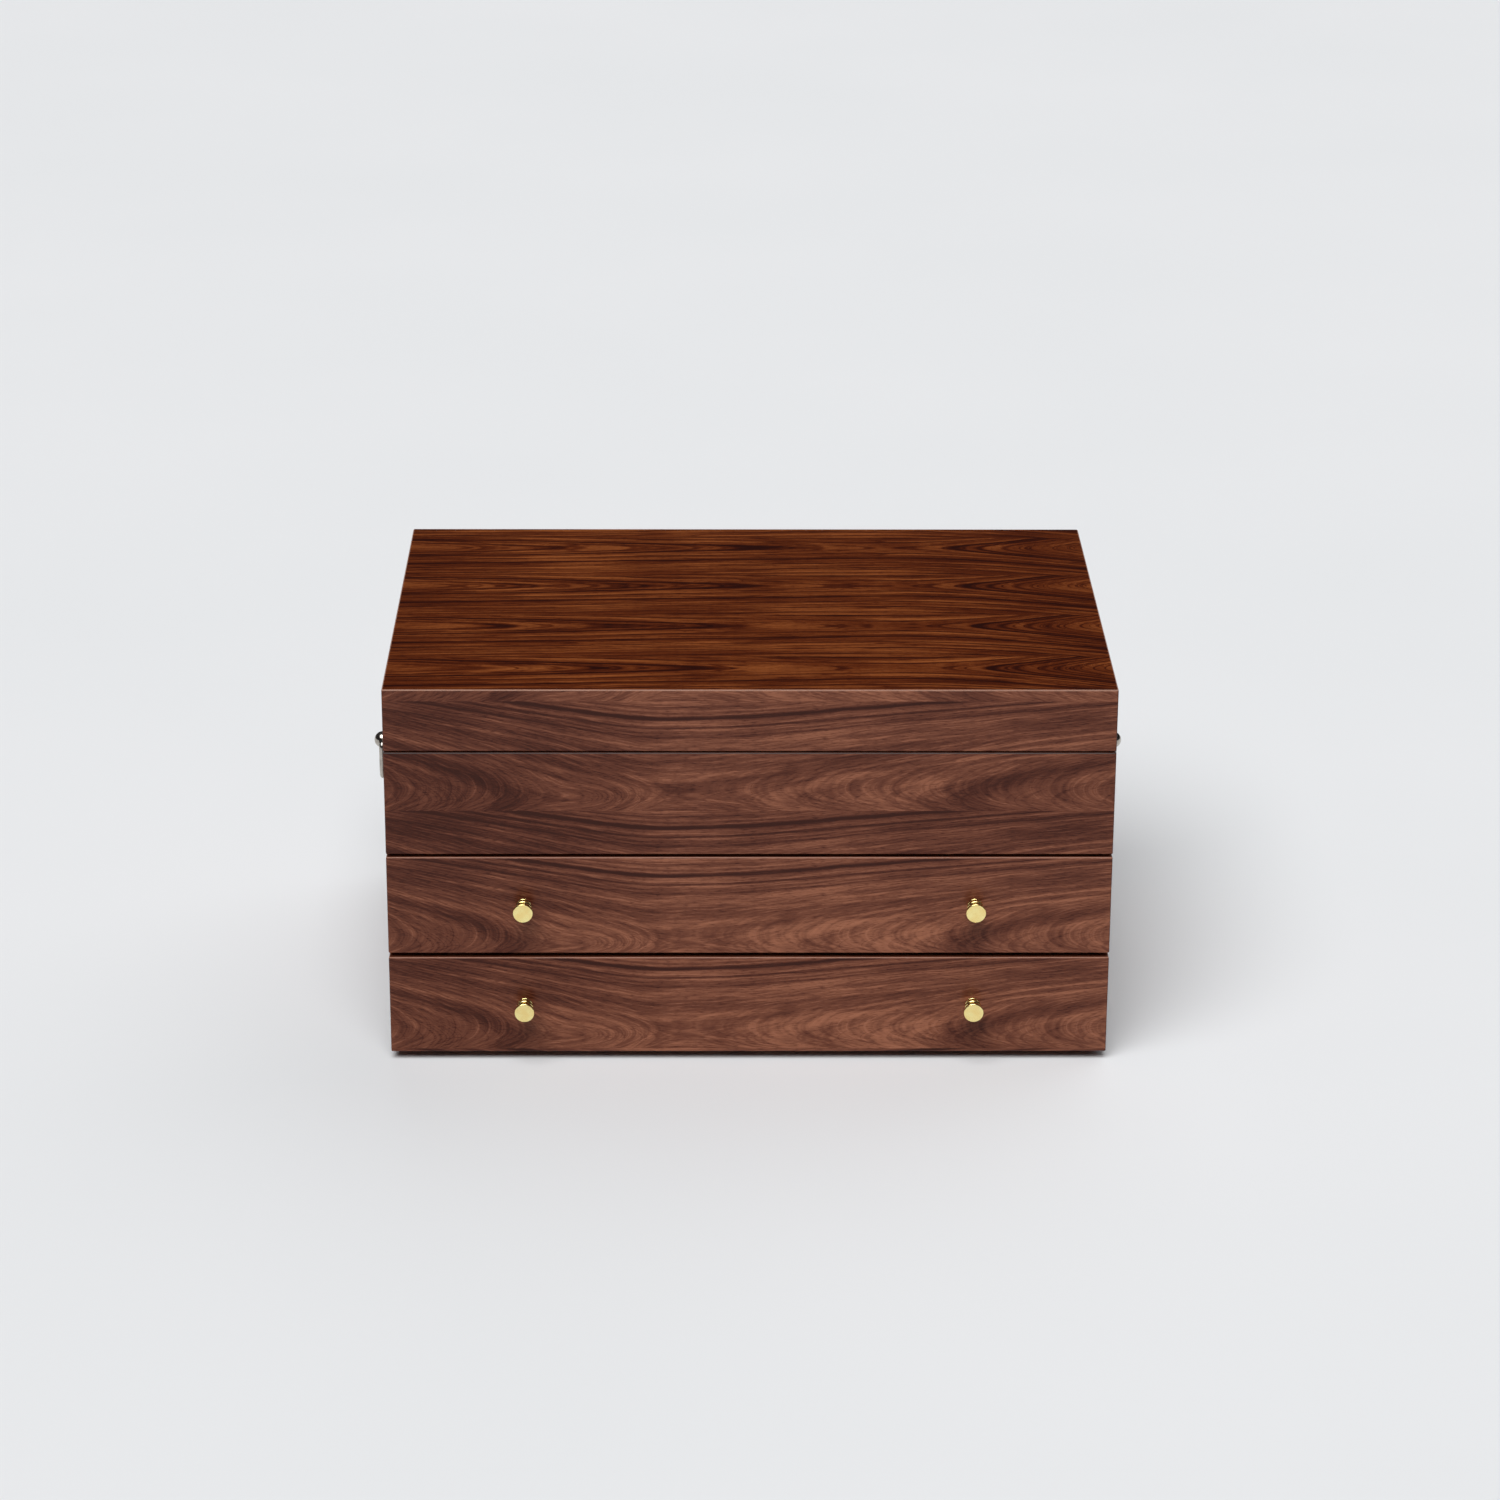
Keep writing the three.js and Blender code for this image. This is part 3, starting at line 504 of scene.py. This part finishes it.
def knobs():
    """Turned brass knobs: a flanged base, a waisted neck with a collar, and a head with a fine raised rim."""
    stud = [(0, -6.5), (1.4, -6.5), (1.6, -6.3), (1.6, 0.05)]
    base = [(3.7, 0.05), *arc((3.6, 0.4), 0.35, -60, 90, 5), (3.1, 0.85)]
    neck = [(2.6, 1.1), (2.25, 1.6), (2.15, 2.2), (2.3, 2.7), (2.9, 3.1), (3.6, 3.35)]
    collar = [*arc((3.9, 4.0), 0.6, -80, 0, 4), *arc((3.9, 4.6), 0.6, 0, 85, 5)]
    groove = [(3.5, 5.4), (3.2, 5.9), (3.15, 6.8), (3.3, 7.6), (3.8, 8.2), (4.5, 8.6)]
    head = [*arc((4.75, 9.05), 0.4, -70, 0, 4), *arc((4.75, 10.55), 0.45, 0, 90, 6)]
    face = [(4.6, 11.0), (4.35, 10.97), (4.15, 10.93), (2.0, 10.9), (0, 10.88)]
    profile = stud + base + neck + collar + groove + head + face
    for drawer in ("upper", "lower"):
        for side in ("left", "right"):
            node = f"{drawer}_drawer_knob_{side}"
            low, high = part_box(node)
            front_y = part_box(f"{drawer}_drawer_front")[0].y
            place = ((low.x + high.x) / 2, front_y, (low.z + high.z) / 2)
            bm = turned(profile, place, (0, -1, 0))
            piece(f"knob_{drawer}_{side}", bm, f"{drawer}_drawer", "brass", [node])


def shaped_mesh(made):
    """A new mesh with the object's modifiers applied."""
    return bpy.data.meshes.new_from_object(made.evaluated_get(bpy.context.evaluated_depsgraph_get()))


def bored(made, centre, axis, radius):
    """Cuts a round bore through a piece and leaves no modifier behind."""
    half = 9  # mm, past both sides of a post's ball
    tool_bm = turned([(0, -half), (radius / MM, -half), (radius / MM, half), (0, half)], centre, axis, 40)
    bmesh.ops.recalc_face_normals(tool_bm, faces=tool_bm.faces)
    mesh = bpy.data.meshes.new("bore")
    tool_bm.to_mesh(mesh)
    tool_bm.free()
    tool = bpy.data.objects.new("bore", mesh)
    scene.collection.objects.link(tool)
    cut = made.modifiers.new("bore", "BOOLEAN")
    cut.operation = "DIFFERENCE"
    cut.solver = "EXACT"
    cut.object = tool
    bpy.context.view_layer.update()
    result = shaped_mesh(made)
    made.modifiers.clear()
    made.data = result
    bpy.data.objects.remove(tool)


# The handles' sizes that are the CAD's, in mm.
POST_REACH = 7.6  # the swing axis, off the side
POST_BALL = 4.5
POST_NECK = 2.4
WIRE = 1.6
WIRE_TIP = 31.4  # each end of the wire, from the handle's middle
EYE_BEND = 3.0
GRIP_BEND = 6.0
# Those that are set here, in mm but for the share.
BORE_PLAY = 0.2
BLUNT = 0.5  # the length over which a wire's end narrows
BLUNT_SHARE = 0.6  # how narrow it gets
BEND_STEPS = 12
WIRE_SIDES = 24


def bail_tube(axis_x, middle_y, axis_z, arm, drop):
    """A bent wire with blunt ends: in at the posts, down the arms and along the grip."""
    eye = EYE_BEND * MM
    grip = GRIP_BEND * MM
    wire = WIRE * MM
    half = [(WIRE_TIP * MM, 0.0), (arm - eye, 0.0), (arm, 0.0), (arm, -eye), (arm, grip - drop), (arm, -drop),
            (arm - grip, -drop), (0.0, -drop)]
    points = [half[0]]
    for start, corner, end in ((1, 2, 3), (4, 5, 6)):
        for i in range(BEND_STEPS + 1):
            s = i / BEND_STEPS
            weights = ((1 - s) ** 2, 2 * s * (1 - s), s * s)
            spots = (half[start], half[corner], half[end])
            points.append(tuple(sum(w * p[k] for w, p in zip(weights, spots)) for k in (0, 1)))
    points += [half[-1]]
    points = points + [(-y, z) for y, z in reversed(points[:-1])]
    bm = bmesh.new()
    rings = []

    def ring(centre, along, radius):
        inward = Vector((0, -along.z, along.y))
        angles = [2 * math.pi * i / WIRE_SIDES for i in range(WIRE_SIDES)]
        return [bm.verts.new(centre + radius * (math.cos(a) * inward + math.sin(a) * Vector((1, 0, 0))))
                for a in angles]

    path = [Vector((axis_x, middle_y + y, axis_z + z)) for y, z in points]
    for i, spot in enumerate(path):
        along = (path[min(i + 1, len(path) - 1)] - path[max(i - 1, 0)]).normalized()
        if i == 0:
            rings += [ring(spot + along * 0.02 * MM, along, wire * BLUNT_SHARE)]
            rings += [ring(spot + along * BLUNT * MM, along, wire)]
        elif i == len(path) - 1:
            rings += [ring(spot - along * BLUNT * MM, along, wire)]
            rings += [ring(spot - along * 0.02 * MM, along, wire * BLUNT_SHARE)]
        else:
            rings.append(ring(spot, along, wire))
    for low, high in zip(rings, rings[1:]):
        for i in range(WIRE_SIDES):
            j = (i + 1) % WIRE_SIDES
            bm.faces.new([low[i], low[j], high[j], high[i]])
    bm.faces.new(rings[0])
    bm.faces.new(rings[-1])
    return bm


def handles():
    """Bail handles: ball-headed posts on rosettes, with the wire turning in their bores."""
    start = math.degrees(math.asin(-math.sqrt(POST_BALL ** 2 - POST_NECK ** 2) / POST_BALL))
    stud = [(0, -6.5), (1.8, -6.5), (2.0, -6.3), (2.0, 0.05)]
    rosette = [(6.9, 0.05), (7.0, 0.2), *arc((6.6, 0.55), 0.4, 0, 80, 5), (5.9, 1.1), (5.2, 1.28)]
    neck = [(3.6, 1.5), (2.9, 1.75), (2.5, 2.2)]
    ball = [*arc((0, POST_REACH), POST_BALL, start, 89, 22), (0, POST_REACH + POST_BALL)]
    profile = stud + rosette + neck + ball
    for side, sign in (("left", -1), ("right", 1)):
        bail = f"handle_bail_{side}"
        low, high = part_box(bail)
        axis_x = (low.x + high.x) / 2
        middle_y = (low.y + high.y) / 2
        axis_z = high.z - WIRE * MM
        for end in ("front", "back"):
            node = f"handle_post_{side}_{end}"
            post_low, post_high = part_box(node)
            place = (axis_x - sign * POST_REACH * MM, (post_low.y + post_high.y) / 2, axis_z)
            post = turned(profile, place, (sign, 0, 0))
            made = piece(f"post_{side}_{end}", post, "case", "nickel_plate", [node])
            bored(made, (axis_x, place[1], axis_z), (0, 1, 0), (WIRE + BORE_PLAY) * MM)
        arm = (high.y - low.y) / 2 - WIRE * MM
        drop = high.z - low.z - 2 * WIRE * MM
        tube = bail_tube(axis_x, middle_y, axis_z, arm, drop)
        piece(f"bail_{side}", tube, f"handle_{side}", "nickel_plate", [bail])


SCREW_RADIUS = 1.5 * MM
SCREW_HEIGHT = 0.1 * MM
SCREW_SLOT = 0.4 * MM
SCREW_INSET = 3.6 * MM  # from the leaf's front edge
LEAF_FACE = 0.15 * MM  # a leaf's inner face, from the level of the hinge's axis


def screw_head(bm, place, up, radius, height, slot_width):
    """Adds a flat slotted screw head, as two part discs either side of the slot."""
    for side in (-1, 1):
        start = math.asin(slot_width / 2 / radius)
        angles = [start + (math.pi - 2 * start) * i / 14 for i in range(15)]
        rim = [Vector((radius * math.cos(a), side * radius * math.sin(a), 0)) for a in angles]
        low = [bm.verts.new(Vector(place) + spot) for spot in rim]
        lift = Vector((0, 0, up * height))
        high = [bm.verts.new(Vector(place) + spot * 0.94 + lift) for spot in rim]
        bm.faces.new(low)
        bm.faces.new(high)
        for i in range(len(rim)):
            j = (i + 1) % len(rim)
            bm.faces.new([low[i], low[j], high[j], high[i]])


def hinge_screws():
    """Three screw heads on each hinge leaf."""
    for side in ("left", "right"):
        pin_low, pin_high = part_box(f"hinge_{side}_pin")
        axis_z = (pin_low.z + pin_high.z) / 2
        for leaf, body, up in (("case", "case", 1), ("lid", "lid", -1)):
            low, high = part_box(f"hinge_{side}_{leaf}_leaf")
            bm = bmesh.new()
            for share in (0.18, 0.5, 0.82):
                spot = (low.x + (high.x - low.x) * share, low.y + SCREW_INSET, axis_z - up * LEAF_FACE)
                screw_head(bm, spot, up, SCREW_RADIUS, SCREW_HEIGHT, SCREW_SLOT)
            piece(f"hinge_screws_{side}_{leaf}", bm, body, "brass")


# ---- Linings ----

LINING = 1.2 * MM  # card and suede together
LINING_ROUND = 0.45 * MM
DIVIDER_ROUND = 1.3 * MM
FRAME_RIPPLE = 0.18 * MM
MITRE_DIP = 0.35 * MM
MITRE_WIDTH = 1.2 * MM


def lining(node, body):
    """Suede-covered card: a floor panel and four wall panels that meet at soft seams."""
    low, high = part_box(node)
    floor_top = low.z + LINING
    bm = bmesh.new()
    panels = [
        ((low.x, low.y, low.z), (high.x, high.y, floor_top)),
        ((low.x, low.y, floor_top), (high.x, low.y + LINING, high.z)),
        ((low.x, high.y - LINING, floor_top), (high.x, high.y, high.z)),
        ((low.x, low.y + LINING, floor_top), (low.x + LINING, high.y - LINING, high.z)),
        ((high.x - LINING, low.y + LINING, floor_top), (high.x, high.y - LINING, high.z)),
    ]
    for i, (start, end) in enumerate(panels):
        soft_block(bm, start, end, LINING_ROUND, step=6 * MM, ripple=0.16 * MM, seed=i * 3.7)
    piece(f"{node}_cloth", bm, body, "suede", [node])


def divider(node, body, seed):
    """A suede-covered divider, rounded along its edges."""
    low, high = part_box(node)
    bm = bmesh.new()
    soft_block(bm, low, high, DIVIDER_ROUND, step=5 * MM, ripple=0.25 * MM, seed=seed)
    piece(f"{node}_cloth", bm, body, "suede", [node])


def mirror_frame():
    """A padded suede frame, mitred round the glass and rebated behind for it."""
    node = "lid_mirror_frame"
    low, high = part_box(node)
    # In mm: inward from the frame's outer edge, and up from its underside.
    section = [
        (0.0, 5.5), (0.0, 1.3), (0.25, 0.7), (0.9, 0.3), (2.4, 0.08), (6.0, 0.0), (12.5, 0.0), (16.0, 0.08),
        (17.8, 0.35), (18.7, 0.8), (19.0, 1.4), (18.9, 1.95), (18.6, 2.1), (13.7, 2.1), (13.7, 5.5),
    ]
    centre = (low + high) / 2
    half = (high - low) / 2
    corners = [(-1, -1), (1, -1), (1, 1), (-1, 1)]
    bm = bmesh.new()
    stations = []
    for k in range(4):
        (ax, ay), (bx, by) = corners[k], corners[(k + 1) % 4]
        count = 44 if k % 2 == 0 else 30
        for i in range(count):
            s = i / count
            station = []
            for inward, up in section:
                x0, y0 = half.x - inward * MM, half.y - inward * MM
                spot = Vector((
                    centre.x + x0 * (ax * (1 - s) + bx * s),
                    centre.y + y0 * (ay * (1 - s) + by * s),
                    low.z + up * MM,
                ))
                if up < 0.5:
                    spot.z += FRAME_RIPPLE * (0.5 + 0.5 * noise.noise(spot / (14 * MM)))
                    spot.z += MITRE_DIP * math.exp(-((min(s, 1 - s) * 2 * half.x) / MITRE_WIDTH) ** 2)
                station.append(bm.verts.new(spot))
            stations.append(station)
    for a, b in zip(stations, stations[1:] + stations[:1]):
        for i in range(len(section)):
            j = (i + 1) % len(section)
            bm.faces.new([a[i], a[j], b[j], b[i]])
    piece("mirror_frame_cloth", bm, "lid", "suede", [node])


# ---- Ring rolls ----

ROLL_VOXEL = 2.6 * MM
ROLL_GLUED = 1.4 * MM  # the depth at the foot of a roll that doesn't move
ROLL_INSET = 0.9 * MM  # how much smaller than its CAD solid a roll is before it swells
ROLL_SIDE_ROOM = 0.3 * MM
ROLL_TOP_ROOM = 0.6 * MM
ROLL_CAP = 1.5 * MM  # the furthest that any vertex swells
SWELL_FRAMES = 20


def swell(bm, limit_low, limit_high, cap):
    """Inflates a closed shape as stuffed cloth and returns its vertices and faces.

    No vertex moves more than `cap`, or past the limits.
    """
    mesh = bpy.data.meshes.new("roll")
    bm.to_mesh(mesh)
    bm.free()
    work = bpy.data.objects.new("roll", mesh)
    scene.collection.objects.link(work)
    remesh = work.modifiers.new("voxels", "REMESH")
    remesh.mode = "VOXEL"
    remesh.voxel_size = ROLL_VOXEL
    bpy.context.view_layer.update()
    work.data = shaped_mesh(work)
    work.modifiers.clear()
    start = [v.co.copy() for v in work.data.vertices]
    faces = [tuple(face.vertices) for face in work.data.polygons]
    spots = start
    held = work.vertex_groups.new(name="held")
    glued = [v.index for v in work.data.vertices if v.co.z < limit_low.z + ROLL_GLUED]
    held.add(glued, 1.0, "REPLACE")
    cloth = work.modifiers.new("cloth", "CLOTH")
    cloth.settings.quality = 6
    cloth.settings.mass = 0.2
    cloth.settings.tension_stiffness = 12
    cloth.settings.compression_stiffness = 12
    cloth.settings.bending_stiffness = 0.4
    cloth.settings.vertex_group_mass = "held"
    cloth.settings.use_pressure = True
    cloth.settings.uniform_pressure_force = 4.0
    cloth.settings.effector_weights.gravity = 0.0
    cloth.collision_settings.use_collision = False
    cloth.point_cache.frame_start = 1
    cloth.point_cache.frame_end = SWELL_FRAMES
    for step in range(1, SWELL_FRAMES + 1):
        scene.frame_set(step)
    final = work.evaluated_get(bpy.context.evaluated_depsgraph_get()).to_mesh()
    spots = []
    for before, after in zip(start, final.vertices):
        move = after.co - before
        if move.length > cap:
            move = move.normalized() * cap
        spots.append(before + move)
    scene.frame_set(1)
    bpy.data.objects.remove(work)

    def within(spot):
        return Vector([min(max(s, a), b) for s, a, b in zip(spot, limit_low, limit_high)])

    return [within(spot) for spot in spots], faces


def ring_rolls():
    """Stuffed suede rolls with gathered ends, side by side, that hold rings upright between them."""
    for number in range(1, 6):
        node = f"ring_roll_{number}"
        low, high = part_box(node)
        half = (high.y - low.y) / 2 - ROLL_INSET
        round_z = high.z - ROLL_INSET - half
        outline = [(-half, low.z), (half, low.z)]
        outline += [(y, round_z + z) for y, z in arc((0, 0), half, 0, 180, 18)]
        bm = bmesh.new()
        rings = []
        lengths = [low.x + ROLL_INSET, low.x + 1.6 * MM, low.x + 3.4 * MM]
        scales = [0.84, 0.95, 1.0]
        stations = list(zip(lengths, scales))
        stations += [(low.x + high.x - x, s) for x, s in reversed(stations)]
        middle_y = (low.y + high.y) / 2
        for x, s in stations:
            rings.append([bm.verts.new((x, middle_y + y * s, low.z + (z - low.z) * s)) for y, z in outline])
        for a, b in zip(rings, rings[1:]):
            for i in range(len(outline)):
                j = (i + 1) % len(outline)
                bm.faces.new([a[i], a[j], b[j], b[i]])
        bm.faces.new(rings[0])
        bm.faces.new(rings[-1])
        bmesh.ops.recalc_face_normals(bm, faces=bm.faces)
        limit_low = Vector((low.x, low.y - ROLL_SIDE_ROOM, low.z))
        limit_high = Vector((high.x, high.y + ROLL_SIDE_ROOM, high.z + ROLL_TOP_ROOM))
        spots, faces = swell(bm, limit_low, limit_high, ROLL_CAP)
        made = bmesh.new()
        verts = []
        for spot in spots:
            crease = noise.noise(spot / (7 * MM) + Vector((number * 5.1, 0, 0)))
            settle = noise.noise(Vector((spot.x / (30 * MM), number * 2.3, 0)))
            lift = max(0.0, (spot.z - low.z) / (high.z - low.z))
            verts.append(made.verts.new(spot + Vector((0, 0, (0.16 * crease + 0.25 * settle) * MM * lift))))
        for face in faces:
            made.faces.new([verts[i] for i in face])
        roll = piece(f"{node}_cloth", made, "case", "suede", [node])
        smooth = roll.modifiers.new("smooth", "SUBSURF")
        smooth.levels = 1
        smooth.render_levels = 1


# ---- Stage ----

FLOOR_HALF = 30.0
WORLD_STRENGTH = 0.035
CAMERA_PLACE = (-0.0232, -2.2155, 0.9828)
CAMERA_PITCH = math.radians(21.133)  # down
CAMERA_YAW = math.radians(0.636)  # to the right
CAMERA_ROLL = math.radians(0.247)
CAMERA_LENS = 103.68


def floor():
    """A plain pale floor."""
    mesh = bpy.data.meshes.new("floor")
    corners = [(x * FLOOR_HALF, y * FLOOR_HALF, 0) for x, y in ((-1, -1), (1, -1), (1, 1), (-1, 1))]
    mesh.from_pydata(corners, [], [(0, 1, 2, 3)])
    made = bpy.data.objects.new("floor", mesh)
    scene.collection.objects.link(made)
    g = Graph("floor")
    x, y, _ = g.place()
    cloud = g.noise(x / 400.0, y / 400.0, 0.0, detail=2.0)
    tone = g.mix(cloud, rgb(228, 230, 232), rgb(233, 234, 236))
    g.set(Base_Color=tone, Roughness=0.7, Specular_IOR_Level=0.2)
    made.data.materials.append(g.material)


def light(name, kind, energy, place, aim, mirrored=True, **settings):
    """A light at `place` that points at `aim`. It shows in glossy surfaces only if it is mirrored."""
    data = bpy.data.lights.new(name, kind)
    data.energy = energy
    for key, value in settings.items():
        setattr(data, key, value)
    made = bpy.data.objects.new(name, data)
    made.location = place
    made.rotation_euler = (Vector(aim) - Vector(place)).to_track_quat("-Z", "Y").to_euler()
    made.visible_glossy = mirrored
    scene.collection.objects.link(made)


def lights():
    """Soft studio light: a broad key from the front and a weaker fill from behind."""
    scene.view_settings.view_transform = "Standard"
    world = bpy.data.worlds.new("world")
    world.use_nodes = True
    background = world.node_tree.nodes["Background"]
    background.inputs["Color"].default_value = (0.95, 0.97, 1.0, 1.0)
    background.inputs["Strength"].default_value = WORLD_STRENGTH
    scene.world = world
    light("key", "SUN", 2.95, (-0.35, -1.0, 1.9), (0, 0, 0), angle=math.radians(48))
    light("back_fill", "SUN", 0.75, (0.8, 1.5, 1.9), (0, 0, 0), mirrored=False, angle=math.radians(60))


def camera():
    """The photograph's viewing angle."""
    ahead = math.cos(CAMERA_PITCH)
    forward = Vector((math.sin(CAMERA_YAW) * ahead, math.cos(CAMERA_YAW) * ahead, -math.sin(CAMERA_PITCH)))
    level = Vector((math.cos(CAMERA_YAW), -math.sin(CAMERA_YAW), 0.0))
    lift = level.cross(forward)
    right = math.cos(CAMERA_ROLL) * level + math.sin(CAMERA_ROLL) * lift
    up = math.cos(CAMERA_ROLL) * lift - math.sin(CAMERA_ROLL) * level
    data = bpy.data.cameras.new("camera")
    data.sensor_width = 36.0
    data.lens = CAMERA_LENS
    made = bpy.data.objects.new("camera", data)
    turn = Matrix((right, up, -forward)).transposed().to_4x4()
    made.matrix_world = Matrix.Translation(CAMERA_PLACE) @ turn
    scene.collection.objects.link(made)
    scene.camera = made


finish_frame()
knobs()
handles()
hinge_screws()
lining("well_lining", "case")
for drawer_name in ("upper_drawer", "lower_drawer"):
    lining(f"{drawer_name}_lining", drawer_name)
for index, divider_node in enumerate(sorted(name for name in NODES if "_divider_" in name)):
    owner = next((body for body in ("upper_drawer", "lower_drawer") if divider_node.startswith(body)), "case")
    divider(divider_node, owner, index * 2.9)
mirror_frame()
ring_rolls()
floor()
lights()
camera()
